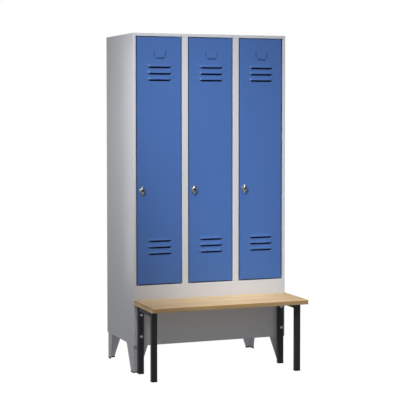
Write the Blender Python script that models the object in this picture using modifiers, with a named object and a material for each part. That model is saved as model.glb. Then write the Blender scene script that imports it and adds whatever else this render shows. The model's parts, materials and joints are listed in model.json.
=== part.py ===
"""A steel locker with three compartments and a bench in front of it.

Metres, +Z up. The origin is on the floor under the middle of the whole object, the
locker's front faces -Y, and the bench stands in front of it.
"""

import math

import bmesh
import bpy
from mathutils import Matrix, Vector

# Whole object
WIDTH = 0.900
DEPTH = 0.500
HEIGHT = 1.850
BENCH_REACH = 0.315
GROUND_CLEARANCE = 0.150
COMPARTMENTS = 3

# Sheet metal, fits and cuts
SHEET = 0.001
SEAT_GAP = 0.0003
BEND_RADIUS = 0.002
BEND_STEPS = 2
OVERRUN = 0.002
MERGE_DISTANCE = 0.00001
ROUND_STEPS = 16

# Front frame: the doors close into its openings
POST_WIDTH = 0.020
MULLION_WIDTH = 0.040
TOP_RAIL_HEIGHT = 0.017
SILL_LEVEL = 0.480

# Doors: folded pans, set slightly back in the frame
DOOR_GAP = 0.004
DOOR_RECESS = 0.002
DOOR_DEPTH = 0.016
DOOR_RETURN = 0.012
STIFFENER_WIDTH = 0.060
STIFFENER_DEPTH = 0.011
STIFFENER_MARGIN = 0.040

# Stops behind the doors' latch edges, with room for a rubber buffer
BUFFER_ROOM = 0.0038
STOP_THICKNESS = 0.0015
STOP_REACH = 0.012
STOP_LAP = 0.008

# Hinge pins: an upper and a lower one welded to each door, near its right edge
HINGE_INSET = 0.010
HINGE_SETBACK = 0.0055
PIN_RADIUS = 0.0025
PIN_COLLAR_RADIUS = 0.0045
PIN_ROOT = 0.012
PIN_REACH = 0.008

# Louvres: two groups of pressed hoods on each door
LOUVRES = 3
LOUVRE_WIDTH = 0.126
LOUVRE_HEIGHT = 0.018
LOUVRE_PROUD = 0.006
LOUVRE_PITCH = 0.035
LOUVRE_END = 0.010
LOUVRE_DROP = 0.200
LOUVRE_RISE = 0.206
LOUVRE_SHIFT = 0.0025
SLOT_CLEARANCE = 0.005

# Card holder: three lanced tabs on each door
CARD_DROP = 0.120
CARD_HALF_SPAN = 0.034
CARD_TAB_WIDTH = 0.004
CARD_TAB_HEIGHT = 0.036
CARD_TAB_LIFT = 0.007
CARD_TAB_PROUD = 0.0015
CARD_FOOT_LENGTH = 0.048

# Locks: a base through the door, a knob with its spindle, and a cam behind the stop
LOCK_INSET = 0.026
LOCK_RISE = 0.516
LOCK_FLANGE_RADIUS = 0.015
LOCK_FLANGE_THICKNESS = 0.0025
LOCK_NECK_RADIUS = 0.009
LOCK_BARREL_RADIUS = 0.010
SPINDLE_RADIUS = 0.006
KNOB_STAND = 0.008
KNOB_DEPTH = 0.010
KNOB_WIDTH = 0.030
KNOB_HEIGHT = 0.049
KNOB_RIM = 0.004
KNOB_DISH = 0.006
KNOB_STEPS = 24
KNOB_ROUNDNESS_SHARE = 1.30
KNOB_LEAN = math.radians(4)
CAM_GAP = 0.0007
CAM_THICKNESS = 0.002
CAM_WIDTH = 0.016
CAM_CATCH = 0.012
CAM_SQUARE = 0.007
CAM_TIP_STEPS = 8

# Shelves and clothes rails
HAT_SPACE = 0.300
SHELF_FOLD = 0.012
SHELF_SETBACK = 0.045
CLOTHES_RAIL_RADIUS = 0.010
CLOTHES_RAIL_WALL = 0.0012
CLOTHES_RAIL_DROP = 0.045

# Feet: tapered sheet angles with plastic caps
FOOT_WALL = 0.002
FOOT_SIDE_SETBACK = 0.002
FOOT_FRONT_SETBACK = 0.015
FOOT_TOP_WIDTH = 0.085
FRONT_FOOT_TOP_LENGTH = 0.120
REAR_FOOT_TOP_LENGTH = 0.072
FOOT_BOTTOM_WIDTH = 0.036
FOOT_BOTTOM_LENGTH = 0.041
FOOT_CAP_HEIGHT = 0.006
FOOT_CAP_LIP = 0.0015

# Bench: seat board on two tube frames
SEAT_LEVEL = 0.400
SEAT_THICKNESS = 0.025
SEAT_EDGE = 0.004
SEAT_EDGE_STEPS = 2
LEG_SIDE = 0.030
LEG_WALL = 0.0015
LEG_INSET = 0.020
LEG_REACH = 0.255
BENCH_RAIL_HEIGHT = 0.030
LEG_CAP_HEIGHT = 0.006
LEG_PLUG_HEIGHT = 0.012

# Bolts that hold the rear legs to the locker
BOLT_DROP = 0.051
BOLT_SPACING = 0.118
BOLT_RADIUS = 0.004
BOLT_HEAD_RADIUS = 0.008
BOLT_HEAD_HEIGHT = 0.005
BOLT_HEAD_STEPS = 4
BOLT_END = 0.010

# Places that follow from the sizes
FRONT = BENCH_REACH - (BENCH_REACH + DEPTH) / 2
BACK = FRONT + DEPTH
SIDE = WIDTH / 2
UNDER_TOP = HEIGHT - SHEET - SEAT_GAP
OPENING_TOP = HEIGHT - TOP_RAIL_HEIGHT
OPENING_WIDTH = (WIDTH - 2 * POST_WIDTH - (COMPARTMENTS - 1) * MULLION_WIDTH) / COMPARTMENTS
DOOR_FACE = FRONT + DOOR_RECESS
DOOR_BACK = DOOR_FACE + DOOR_DEPTH
DOOR_BOTTOM = SILL_LEVEL + DOOR_GAP
DOOR_TOP = OPENING_TOP - DOOR_GAP
STOP_FRONT = DOOR_BACK + BUFFER_ROOM
STOP_BACK = STOP_FRONT + STOP_THICKNESS
FRAME_BACK = STOP_FRONT - SEAT_GAP
INNER_FRONT = FRAME_BACK + SEAT_GAP
INNER_BACK = BACK - SHEET - SEAT_GAP
INNER_SIDE = SIDE - SHEET - SEAT_GAP
SHELF_LEVEL = UNDER_TOP - HAT_SPACE
CAM_FRONT = STOP_BACK + CAM_GAP
SEAT_BOTTOM = SEAT_LEVEL - SEAT_THICKNESS
LOCK_LEVEL = SILL_LEVEL + LOCK_RISE

# Turns an upright shape so that its own +Z points out of the locker's front
FACING_FRONT = Matrix.Rotation(math.radians(90), 4, "X")


def opening_left(number):
    """The left edge of a door's opening, counted from nought."""
    return -SIDE + POST_WIDTH + number * (OPENING_WIDTH + MULLION_WIDTH)


def mullion_middle(number):
    """The middle of a mullion, counted from nought: it stands right of its opening."""
    return opening_left(number) + OPENING_WIDTH + MULLION_WIDTH / 2


def hinge_axis(number):
    """Where a door's hinge axis stands in plan."""
    right = opening_left(number) + OPENING_WIDTH - DOOR_GAP
    return right - HINGE_INSET, DOOR_FACE + HINGE_SETBACK


def lock_middle(number):
    """Where a lock's axis stands across the front."""
    return opening_left(number) + DOOR_GAP + LOCK_INSET


def leg_middles():
    """The middles of the left and right bench frames."""
    reach = SIDE - LEG_INSET - LEG_SIDE / 2
    return {"left": -reach, "right": reach}


def clear_scene():
    for item in list(bpy.data.objects):
        bpy.data.objects.remove(item, do_unlink=True)


def new_collection(name):
    collection = bpy.data.collections.new(name)
    bpy.context.scene.collection.children.link(collection)
    return collection


def new_material(name, colour, roughness, metallic):
    material = bpy.data.materials.new(name)
    material.use_nodes = True
    shader = material.node_tree.nodes["Principled BSDF"]
    shader.inputs["Base Color"].default_value = (*colour, 1.0)
    shader.inputs["Roughness"].default_value = roughness
    shader.inputs["Metallic"].default_value = metallic
    material.diffuse_color = (*colour, 1.0)
    return material


clear_scene()
PARTS = new_collection("locker_with_bench")
CUTTERS = new_collection("cutters")
GREY_PAINT = new_material("light_grey_paint", (0.62, 0.63, 0.68), 0.40, 0.0)
BLUE_PAINT = new_material("blue_paint", (0.068, 0.160, 0.440), 0.40, 0.0)
BLACK_PAINT = new_material("black_paint", (0.012, 0.013, 0.016), 0.38, 0.0)
BEECH = new_material("lacquered_beech", (0.62, 0.45, 0.25), 0.45, 0.0)
BRIGHT_METAL = new_material("bright_plated_metal", (0.62, 0.61, 0.58), 0.22, 1.0)
ZINC = new_material("zinc_plated_steel", (0.50, 0.51, 0.52), 0.35, 1.0)
BLACK_PLASTIC = new_material("black_plastic", (0.014, 0.014, 0.015), 0.50, 0.0)


def add_part(name, data, material, place=None):
    """Puts a mesh or a curve into the model under its node's name."""
    part = bpy.data.objects.new(name, data)
    data.materials.append(material)
    PARTS.objects.link(part)
    if place is not None:
        part.matrix_world = place
    return part


def finish_mesh(name, work):
    mesh = bpy.data.meshes.new(name)
    work.to_mesh(mesh)
    work.free()
    return mesh


def block(work, low, high):
    """Adds a box between two corners to a mesh in work."""
    low = Vector(low)
    high = Vector(high)
    size = Matrix.Diagonal((*(high - low), 1.0))
    return bmesh.ops.create_cube(work, size=1, matrix=Matrix.Translation((low + high) / 2) @ size)["verts"]


def rod(work, middle, direction, radius, length):
    """Adds a round bar along X, Y or Z to a mesh in work."""
    turn = Vector(direction).to_track_quat("Z", "Y").to_matrix().to_4x4()
    bmesh.ops.create_cone(work, cap_ends=True, segments=ROUND_STEPS, radius1=radius, radius2=radius,
                          depth=length, matrix=Matrix.Translation(middle) @ turn)


def bevel(part, width, steps):
    modifier = part.modifiers.new("rounded edges", "BEVEL")
    modifier.width = width
    modifier.segments = steps
    modifier.limit_method = "ANGLE"
    return modifier


def wall(part, thickness):
    modifier = part.modifiers.new("wall", "SOLIDIFY")
    modifier.thickness = thickness
    modifier.offset = -1
    modifier.use_even_offset = True
    return modifier


def centred(low, high):
    """A box's corners about its own middle, and the place of that middle."""
    low = Vector(low)
    high = Vector(high)
    middle = (low + high) / 2
    return low - middle, high - middle, Matrix.Translation(middle)


def flat_part(name, low, high, material):
    """A plain plate or bar between two corners."""
    low, high, place = centred(low, high)
    work = bmesh.new()
    block(work, low, high)
    return add_part(name, finish_mesh(name, work), material, place)


def folded_part(name, low, high, open_sides, material, thickness=SHEET, lip=0, shape=None):
    """Sheet folded along a box's edges, with some of the box's sides left open.

    A lip turns the sheet inwards along the edges of the open sides, and shape moves
    the corners before the sheet gets its thickness.
    """
    low, high, place = centred(low, high)
    work = bmesh.new()
    block(work, low, high)
    for side in open_sides:
        work.faces.ensure_lookup_table()
        outward = Vector(side)
        opened = [face for face in work.faces if face.normal.dot(outward) > math.cos(math.radians(1))]
        if lip:
            bmesh.ops.inset_region(work, faces=opened, thickness=lip, use_even_offset=True)
        bmesh.ops.delete(work, geom=opened, context="FACES")
    if shape is not None:
        shape(work.verts)
    part = add_part(name, finish_mesh(name, work), material, place)
    bevel(part, BEND_RADIUS, BEND_STEPS)
    wall(part, thickness)
    return part


def hidden_shape(name, mesh, place=None):
    """A hidden shape that is cut from, or joined to, a part."""
    shape = bpy.data.objects.new(name, mesh)
    CUTTERS.objects.link(shape)
    shape.hide_render = True
    shape.display_type = "WIRE"
    if place is not None:
        shape.matrix_world = place
    return shape


def cutter(name, work, place=None):
    """A hidden shape from a mesh in work, with its faces split so that each is flat."""
    bmesh.ops.triangulate(work, faces=work.faces)
    return hidden_shape(name, finish_mesh(name, work), place)


def combine(part, shape, operation):
    modifier = part.modifiers.new(shape.name, "BOOLEAN")
    modifier.operation = operation
    modifier.object = shape
    modifier.solver = "EXACT"


def shade_round(part):
    part.data.shade_smooth()
    part.data.set_sharp_from_angle(angle=math.radians(35))


def flat_curve(name, outlines, thickness, material, place):
    """Closed outlines in one plane, filled and given a thickness about that plane."""
    curve = bpy.data.curves.new(name, "CURVE")
    curve.dimensions = "2D"
    curve.fill_mode = "BOTH"
    curve.extrude = thickness / 2
    for outline in outlines:
        spline = curve.splines.new("POLY")
        spline.points.add(len(outline) - 1)
        spline.use_cyclic_u = True
        for point, (across, along) in zip(spline.points, outline):
            point.co = (across, along, 0, 1)
    return add_part(name, curve, material, place)


def outline_mesh(name, outline, closed=False):
    """A line through (radius, height) points, from the top down a turned shape's outer side."""
    mesh = bpy.data.meshes.new(name)
    edges = [(step, step + 1) for step in range(len(outline) - 1)]
    if closed:
        edges.append((len(outline) - 1, 0))
    mesh.from_pydata([(radius, 0, height) for radius, height in outline], edges, [])
    return mesh


def turn(part):
    """Turns a part's outline about its own Z axis into a solid."""
    screw = part.modifiers.new("turned", "SCREW")
    screw.steps = ROUND_STEPS
    screw.render_steps = ROUND_STEPS
    screw.use_merge_vertices = True
    screw.merge_threshold = MERGE_DISTANCE
    screw.use_smooth_shade = True
    return part


def build_shell():
    """Side, back, top and base panels, and the floor of the compartments."""
    for name, outer in (("side_panel_left", -SIDE), ("side_panel_right", SIDE - SHEET)):
        flat_part(name, (outer, FRONT, GROUND_CLEARANCE), (outer + SHEET, BACK, HEIGHT), GREY_PAINT)
    flat_part("back_panel", (-INNER_SIDE, BACK - SHEET, GROUND_CLEARANCE),
              (INNER_SIDE, BACK, UNDER_TOP), GREY_PAINT)
    flat_part("base_panel", (-INNER_SIDE, FRONT + SHEET + SEAT_GAP, GROUND_CLEARANCE),
              (INNER_SIDE, INNER_BACK, GROUND_CLEARANCE + SHEET), GREY_PAINT)
    flat_part("compartment_floor", (-INNER_SIDE, INNER_FRONT, SILL_LEVEL - SHEET),
              (INNER_SIDE, INNER_BACK, SILL_LEVEL), GREY_PAINT)

    def draw_lower_flange_forward(points):
        for point in points:
            if point.co.y > 0 and point.co.z < 0:
                point.co.y -= BACK - FRAME_BACK

    top = folded_part("top_panel", (-INNER_SIDE, FRONT, OPENING_TOP), (INNER_SIDE, BACK, HEIGHT),
                      ((0, 1, 0), (1, 0, 0), (-1, 0, 0)), GREY_PAINT, shape=draw_lower_flange_forward)
    combine(top, pin_holes(top.name, OPENING_TOP), "DIFFERENCE")


def pin_holes(name, level):
    """Holes for one end of all the doors' hinge pins."""
    work = bmesh.new()
    for number in range(COMPARTMENTS):
        rod(work, (*hinge_axis(number), level), (0, 0, 1), PIN_RADIUS + SEAT_GAP, 2 * OVERRUN)
    return cutter(f"{name}_pin_holes", work)


def build_front_frame():
    """Corner posts, mullions, and the lower front panel with its sill."""
    foot = SILL_LEVEL + SEAT_GAP
    head = OPENING_TOP - SEAT_GAP
    ends_and_back = ((0, 1, 0), (0, 0, 1), (0, 0, -1))
    posts = {"post_left": (-INNER_SIDE, -SIDE + POST_WIDTH), "post_right": (SIDE - POST_WIDTH, INNER_SIDE)}
    for name, (left, right) in posts.items():
        folded_part(name, (left, FRONT, foot), (right, FRAME_BACK, head), ends_and_back, GREY_PAINT)
    for number in range(COMPARTMENTS - 1):
        middle = mullion_middle(number)
        folded_part(f"mullion_{number + 1}", (middle - MULLION_WIDTH / 2, FRONT, foot),
                    (middle + MULLION_WIDTH / 2, FRAME_BACK, head), ((0, 0, 1), (0, 0, -1)), GREY_PAINT)
    panel = folded_part("lower_front_panel", (-INNER_SIDE, FRONT, GROUND_CLEARANCE),
                        (INNER_SIDE, FRAME_BACK, SILL_LEVEL),
                        ((0, 1, 0), (0, 0, -1), (1, 0, 0), (-1, 0, 0)), GREY_PAINT)
    combine(panel, pin_holes(panel.name, SILL_LEVEL), "DIFFERENCE")
    work = bmesh.new()
    for x in leg_middles().values():
        for level in bolt_levels().values():
            rod(work, (x, FRONT, level), (0, 1, 0), BOLT_RADIUS + SEAT_GAP, 2 * (SHEET + OVERRUN))
    combine(panel, cutter("lower_front_panel_bolt_holes", work), "DIFFERENCE")


def build_inside():
    """Partitions, hat shelves, clothes rails and door stops."""
    for number in range(COMPARTMENTS - 1):
        middle = mullion_middle(number)
        flat_part(f"partition_{number + 1}", (middle - SHEET / 2, INNER_FRONT, SILL_LEVEL + SEAT_GAP),
                  (middle + SHEET / 2, INNER_BACK, UNDER_TOP), GREY_PAINT)
    walls = [-SIDE + SHEET / 2, *[mullion_middle(number) for number in range(COMPARTMENTS - 1)],
             SIDE - SHEET / 2]
    for number in range(COMPARTMENTS):
        left = walls[number] + SHEET / 2 + SEAT_GAP
        right = walls[number + 1] - SHEET / 2 - SEAT_GAP
        folded_part(f"hat_shelf_{number + 1}", (left, FRONT + SHELF_SETBACK, SHELF_LEVEL - SHELF_FOLD),
                    (right, INNER_BACK, SHELF_LEVEL), ((0, 0, -1),), GREY_PAINT)
        build_clothes_rail(number, left, right)
        edge = opening_left(number)
        flat_part(f"door_stop_{number + 1}", (edge - STOP_LAP, STOP_FRONT, SILL_LEVEL + SEAT_GAP),
                  (edge + STOP_REACH, STOP_BACK, OPENING_TOP - SEAT_GAP), GREY_PAINT)


def build_clothes_rail(number, left, right):
    """An open tube between a compartment's walls."""
    name = f"clothes_rail_{number + 1}"
    level = SHELF_LEVEL - SHELF_FOLD - CLOTHES_RAIL_DROP
    work = bmesh.new()
    bmesh.ops.create_cone(work, cap_ends=False, segments=ROUND_STEPS, radius1=CLOTHES_RAIL_RADIUS,
                          radius2=CLOTHES_RAIL_RADIUS, depth=right - left,
                          matrix=Matrix.Rotation(math.radians(90), 4, "Y"))
    place = Matrix.Translation(((left + right) / 2, (FRONT + BACK) / 2, level))
    rail = add_part(name, finish_mesh(name, work), ZINC, place)
    shade_round(rail)
    wall(rail, CLOTHES_RAIL_WALL)


def build_feet():
    """Four tapered sheet angles under the corners, and their caps."""
    ends = {"front": (1, FRONT_FOOT_TOP_LENGTH), "rear": (-1, REAR_FOOT_TOP_LENGTH)}
    for end, (toward_back, top_length) in ends.items():
        for hand, toward_right in (("left", 1), ("right", -1)):
            corner_x = -toward_right * (SIDE - FOOT_SIDE_SETBACK)
            outer_y = FRONT if toward_back > 0 else BACK
            corner_y = outer_y + toward_back * FOOT_FRONT_SETBACK
            far_x = corner_x + toward_right * FOOT_TOP_WIDTH
            far_y = corner_y + toward_back * top_length
            low = (min(corner_x, far_x), min(corner_y, far_y), FOOT_CAP_HEIGHT + SEAT_GAP)
            high = (max(corner_x, far_x), max(corner_y, far_y), GROUND_CLEARANCE - SEAT_GAP)

            def taper(points, hand_sign=toward_right, end_sign=toward_back, length=top_length):
                for point in points:
                    if point.co.z < 0 and point.co.x * hand_sign > 0:
                        point.co.x -= hand_sign * (FOOT_TOP_WIDTH - FOOT_BOTTOM_WIDTH)
                    if point.co.z < 0 and point.co.y * end_sign > 0:
                        point.co.y -= end_sign * (length - FOOT_BOTTOM_LENGTH)

            open_sides = ((toward_right, 0, 0), (0, toward_back, 0), (0, 0, -1))
            folded_part(f"foot_{end}_{hand}", low, high, open_sides, GREY_PAINT, FOOT_WALL, shape=taper)
            flat_curve(f"foot_cap_{end}_{hand}", [cap_outline(corner_x, corner_y, toward_right, toward_back)],
                       FOOT_CAP_HEIGHT, BLACK_PLASTIC, Matrix.Translation((0, 0, FOOT_CAP_HEIGHT / 2)))


def cap_outline(corner_x, corner_y, toward_right, toward_back):
    """The L of a foot's bottom edge, with a lip all round."""
    start = -FOOT_CAP_LIP
    inner = FOOT_WALL + FOOT_CAP_LIP
    end_x = FOOT_BOTTOM_WIDTH + FOOT_CAP_LIP
    end_y = FOOT_BOTTOM_LENGTH + FOOT_CAP_LIP
    corners = ((start, start), (end_x, start), (end_x, inner), (inner, inner), (inner, end_y), (start, end_y))
    return [(corner_x + toward_right * x, corner_y + toward_back * y) for x, y in corners]


def hood(work, x, slot_z, y, half_width, end, proud, height, depth_in):
    """A wedge that leans out of the door's face to its lower edge, with slanted ends.

    The wedge's back lies depth_in behind y, its upper front edge at y and its lower
    front edge proud of y.
    """
    for point in block(work, (-1, -1, -1), (1, 1, 1)):
        is_front = point.co.y < 0
        is_low = point.co.z < 0
        side = 1 if point.co.x > 0 else -1
        leaned = end if is_front and is_low else 0
        point.co.x = x + side * (half_width - leaned)
        point.co.z = slot_z if is_low else slot_z + height
        point.co.y = y + depth_in if not is_front else (y - proud if is_low else y + depth_in / 2)


def louvre_slots():
    """The levels of a door's louvre slots, lower group and upper group."""
    middle = (LOUVRES - 1) / 2
    steps = [(number - middle) * LOUVRE_PITCH for number in range(LOUVRES)]
    groups = (SILL_LEVEL + LOUVRE_RISE, OPENING_TOP - LOUVRE_DROP)
    return [group + step for group in groups for step in steps]


def door_raised_shapes(number, middle):
    """Hoods of the louvres and tabs of the card holder, joined to the door's face."""
    work = bmesh.new()
    for slot_z in louvre_slots():
        hood(work, middle + LOUVRE_SHIFT, slot_z, DOOR_FACE, LOUVRE_WIDTH / 2, LOUVRE_END, LOUVRE_PROUD,
             LOUVRE_HEIGHT, SHEET / 2)
    foot_z = OPENING_TOP - CARD_DROP
    back = DOOR_FACE + SHEET / 2
    face = DOOR_FACE - CARD_TAB_PROUD
    for side in (-1, 1):
        tab_x = middle + side * CARD_HALF_SPAN
        block(work, (tab_x - CARD_TAB_WIDTH / 2, face, foot_z + CARD_TAB_LIFT),
              (tab_x + CARD_TAB_WIDTH / 2, back, foot_z + CARD_TAB_LIFT + CARD_TAB_HEIGHT))
    block(work, (middle - CARD_FOOT_LENGTH / 2, face, foot_z - CARD_TAB_WIDTH / 2),
          (middle + CARD_FOOT_LENGTH / 2, back, foot_z + CARD_TAB_WIDTH / 2))
    return cutter(f"door_{number + 1}_raised", work)


def door_cut_shapes(number, middle):
    """Hollows behind the hoods, with their slots, and the lock's hole."""
    work = bmesh.new()
    for slot_z in louvre_slots():
        hood(work, middle + LOUVRE_SHIFT, slot_z - SLOT_CLEARANCE, DOOR_FACE + SHEET,
             LOUVRE_WIDTH / 2 - 2 * SHEET, LOUVRE_END, LOUVRE_PROUD, LOUVRE_HEIGHT, OVERRUN)
    rod(work, (lock_middle(number), DOOR_FACE, LOCK_LEVEL), (0, 1, 0), LOCK_BARREL_RADIUS + SEAT_GAP,
        2 * (SHEET + OVERRUN))
    return cutter(f"door_{number + 1}_cuts", work)


def hinge_pin_shapes(number):
    """The lower and the upper pin, each with the collar that keeps the door's gap."""
    collar_end = DOOR_GAP - SEAT_GAP
    outline = ((0, PIN_ROOT), (PIN_RADIUS, PIN_ROOT), (PIN_RADIUS, SHEET / 2), (PIN_COLLAR_RADIUS, SHEET / 2),
               (PIN_COLLAR_RADIUS, -collar_end), (PIN_RADIUS, -collar_end),
               (PIN_RADIUS, -DOOR_GAP - PIN_REACH), (0, -DOOR_GAP - PIN_REACH))
    upside_down = Matrix.Rotation(math.radians(180), 4, "X")
    ends = {
        "lower": Matrix.Translation((*hinge_axis(number), DOOR_BOTTOM)),
        "upper": Matrix.Translation((*hinge_axis(number), DOOR_TOP)) @ upside_down,
    }
    for end, place in ends.items():
        name = f"door_{number + 1}_{end}_pin"
        yield turn(hidden_shape(name, outline_mesh(name, outline), place))


def build_door(number):
    """A door's pan with its hinge pins, and its stiffener, carried by the hinge axis."""
    left = opening_left(number) + DOOR_GAP
    right = opening_left(number) + OPENING_WIDTH - DOOR_GAP
    middle = (left + right) / 2
    name = f"door_{number + 1}"
    pan = folded_part(name, (left, DOOR_FACE, DOOR_BOTTOM), (right, DOOR_BACK, DOOR_TOP), ((0, 1, 0),),
                      BLUE_PAINT, lip=DOOR_RETURN)
    for pin in hinge_pin_shapes(number):
        combine(pan, pin, "UNION")
    combine(pan, door_raised_shapes(number, middle), "UNION")
    combine(pan, door_cut_shapes(number, middle), "DIFFERENCE")

    slots = louvre_slots()
    stiffener_front = DOOR_FACE + SHEET + SEAT_GAP
    stiffener = folded_part(f"{name}_stiffener",
                            (middle - STIFFENER_WIDTH / 2, stiffener_front,
                             slots[LOUVRES - 1] + LOUVRE_HEIGHT + STIFFENER_MARGIN),
                            (middle + STIFFENER_WIDTH / 2, stiffener_front + STIFFENER_DEPTH,
                             slots[LOUVRES] - STIFFENER_MARGIN),
                            ((0, -1, 0), (0, 0, 1), (0, 0, -1)), BLUE_PAINT)

    axis = bpy.data.objects.new(f"{name}_axis", None)
    PARTS.objects.link(axis)
    axis.location = (*hinge_axis(number), DOOR_BOTTOM)
    hang((pan, stiffener), axis)
    return axis


def hang(children, parent):
    """Parents pieces to an unturned empty and leaves them where they are."""
    bpy.context.view_layer.update()
    for child in children:
        place = child.matrix_world.copy()
        child.parent = parent
        child.matrix_parent_inverse = Matrix.Identity(4)
        child.matrix_basis = parent.matrix_world.inverted() @ place


def build_lock(number, door_axis):
    """A lock's base on its door, and the knob and cam that turn in it."""
    x = lock_middle(number)
    face = Matrix.Translation((x, DOOR_FACE, LOCK_LEVEL)) @ FACING_FRONT
    barrel_end = CAM_FRONT - SEAT_GAP - DOOR_FACE
    bore = SPINDLE_RADIUS + SEAT_GAP
    neck = KNOB_STAND - SEAT_GAP
    flange_top = SEAT_GAP + LOCK_FLANGE_THICKNESS
    name = f"lock_{number + 1}_base"
    outline = (
        (bore, neck), (LOCK_NECK_RADIUS, neck), (LOCK_NECK_RADIUS, flange_top),
        (LOCK_FLANGE_RADIUS, flange_top), (LOCK_FLANGE_RADIUS, SEAT_GAP), (LOCK_BARREL_RADIUS, SEAT_GAP),
        (LOCK_BARREL_RADIUS, -barrel_end), (bore, -barrel_end))
    base = turn(add_part(name, outline_mesh(name, outline, closed=True), BRIGHT_METAL, face))
    knob = build_knob(number, face)
    cam = build_cam(number, x)

    spindle = bpy.data.objects.new(f"lock_{number + 1}_axis", None)
    PARTS.objects.link(spindle)
    spindle.location = (x, DOOR_FACE, LOCK_LEVEL)
    hang((knob, cam), spindle)
    hang((base, spindle), door_axis)


def build_knob(number, face):
    """A lozenge with a dished face on a spindle whose end is square."""
    name = f"lock_{number + 1}_knob"
    work = bmesh.new()
    bmesh.ops.create_circle(work, cap_ends=True, segments=KNOB_STEPS, radius=1)
    power = 2 / KNOB_ROUNDNESS_SHARE
    for point in work.verts:
        across = math.copysign(abs(point.co.x) ** power, point.co.x) * KNOB_WIDTH / 2
        along = math.copysign(abs(point.co.y) ** power, point.co.y) * KNOB_HEIGHT / 2
        point.co = (across, along, KNOB_STAND)
    lozenge = list(work.faces)
    raised = bmesh.ops.extrude_face_region(work, geom=lozenge)["geom"]
    top = [item for item in raised if isinstance(item, bmesh.types.BMFace)]
    bmesh.ops.translate(work, vec=(0, 0, KNOB_DEPTH),
                        verts=[item for item in raised if isinstance(item, bmesh.types.BMVert)])
    rim_share = 1 - 2 * KNOB_RIM / KNOB_WIDTH
    rim_share_along = 1 - 2 * KNOB_RIM / KNOB_HEIGHT
    dished = bmesh.ops.extrude_face_region(work, geom=top)["geom"]
    dish_points = [item for item in dished if isinstance(item, bmesh.types.BMVert)]
    bmesh.ops.delete(work, geom=[face_ for face_ in top if face_.is_valid], context="FACES")
    bmesh.ops.scale(work, vec=(rim_share, rim_share_along, 1), verts=dish_points)
    dish = [item for item in dished if isinstance(item, bmesh.types.BMFace)]
    sunk = bmesh.ops.extrude_face_region(work, geom=dish)["geom"]
    bmesh.ops.delete(work, geom=[face_ for face_ in dish if face_.is_valid], context="FACES")
    bmesh.ops.translate(work, vec=(0, 0, -KNOB_DISH),
                        verts=[item for item in sunk if isinstance(item, bmesh.types.BMVert)])
    bmesh.ops.recalc_face_normals(work, faces=work.faces)
    bmesh.ops.rotate(work, verts=work.verts, matrix=Matrix.Rotation(KNOB_LEAN, 3, "Z"))
    knob = add_part(name, finish_mesh(name, work), BRIGHT_METAL, face)

    spindle_end = CAM_FRONT - SEAT_GAP - DOOR_FACE
    inside = KNOB_STAND + (KNOB_DEPTH - KNOB_DISH) / 2
    work = bmesh.new()
    rod(work, (0, 0, (inside - spindle_end) / 2), (0, 0, 1), SPINDLE_RADIUS, inside + spindle_end)
    combine(knob, cutter(f"{name}_spindle", work, face), "UNION")
    work = bmesh.new()
    square = CAM_SQUARE / 2 - SEAT_GAP
    block(work, (-square, -square, -spindle_end - CAM_THICKNESS - 2 * SEAT_GAP), (square, square, 0))
    combine(knob, cutter(f"{name}_square", work, face), "UNION")
    return knob


def build_cam(number, x):
    """A tongue that hangs from the spindle's square, clear of the stop until it is turned."""
    reach = DOOR_GAP + LOCK_INSET - STOP_REACH + CAM_CATCH
    half = CAM_WIDTH / 2
    square = CAM_SQUARE / 2
    tail = [(half * math.cos(angle), half * math.sin(angle))
            for angle in (math.pi * step / CAM_TIP_STEPS for step in range(CAM_TIP_STEPS + 1))]
    outline = [*tail, (-half, -reach), (half, -reach)]
    hole = [(-square, -square), (square, -square), (square, square), (-square, square)]
    place = Matrix.Translation((x, CAM_FRONT + CAM_THICKNESS / 2, LOCK_LEVEL)) @ FACING_FRONT
    return flat_curve(f"lock_{number + 1}_cam", [outline, hole], CAM_THICKNESS, ZINC, place)


def bolt_levels():
    upper = SEAT_BOTTOM - BOLT_DROP
    return {"upper": upper, "lower": upper - BOLT_SPACING}


def build_bench():
    """Seat board, and a frame of two legs and a rail under each end."""
    low, high, place = centred((-SIDE, FRONT - BENCH_REACH, SEAT_BOTTOM),
                               (SIDE, FRONT - SEAT_GAP, SEAT_LEVEL))
    work = bmesh.new()
    block(work, low, high)
    seat = add_part("seat_board", finish_mesh("seat_board", work), BEECH, place)
    bevel(seat, SEAT_EDGE, SEAT_EDGE_STEPS)

    rear_front = FRONT - SEAT_GAP - LEG_SIDE
    front_back = FRONT - LEG_REACH + LEG_SIDE
    leg_bottom = LEG_CAP_HEIGHT + SEAT_GAP
    leg_top = SEAT_BOTTOM - SEAT_GAP
    tube_ends = ((0, 0, 1), (0, 0, -1))
    for hand, middle in leg_middles().items():
        left = middle - LEG_SIDE / 2
        right = middle + LEG_SIDE / 2
        rear = folded_part(f"bench_leg_rear_{hand}", (left, rear_front, leg_bottom),
                           (right, rear_front + LEG_SIDE, leg_top), tube_ends, BLACK_PAINT, LEG_WALL)
        folded_part(f"bench_leg_front_{hand}", (left, front_back - LEG_SIDE, leg_bottom),
                    (right, front_back, leg_top), tube_ends, BLACK_PAINT, LEG_WALL)
        folded_part(f"bench_rail_{hand}", (left, front_back + SEAT_GAP, leg_top - BENCH_RAIL_HEIGHT),
                    (right, rear_front - SEAT_GAP, leg_top), ((0, 1, 0), (0, -1, 0)), BLACK_PAINT, LEG_WALL)
        build_leg_cap(f"leg_cap_rear_{hand}", left, rear_front)
        build_leg_cap(f"leg_cap_front_{hand}", left, front_back - LEG_SIDE)
        work = bmesh.new()
        for level in bolt_levels().values():
            rod(work, (middle, rear_front + LEG_SIDE / 2, level), (0, 1, 0), BOLT_RADIUS + SEAT_GAP,
                LEG_SIDE + 2 * OVERRUN)
        combine(rear, cutter(f"bench_leg_rear_{hand}_holes", work), "DIFFERENCE")
        build_bolts(hand, middle)


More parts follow.
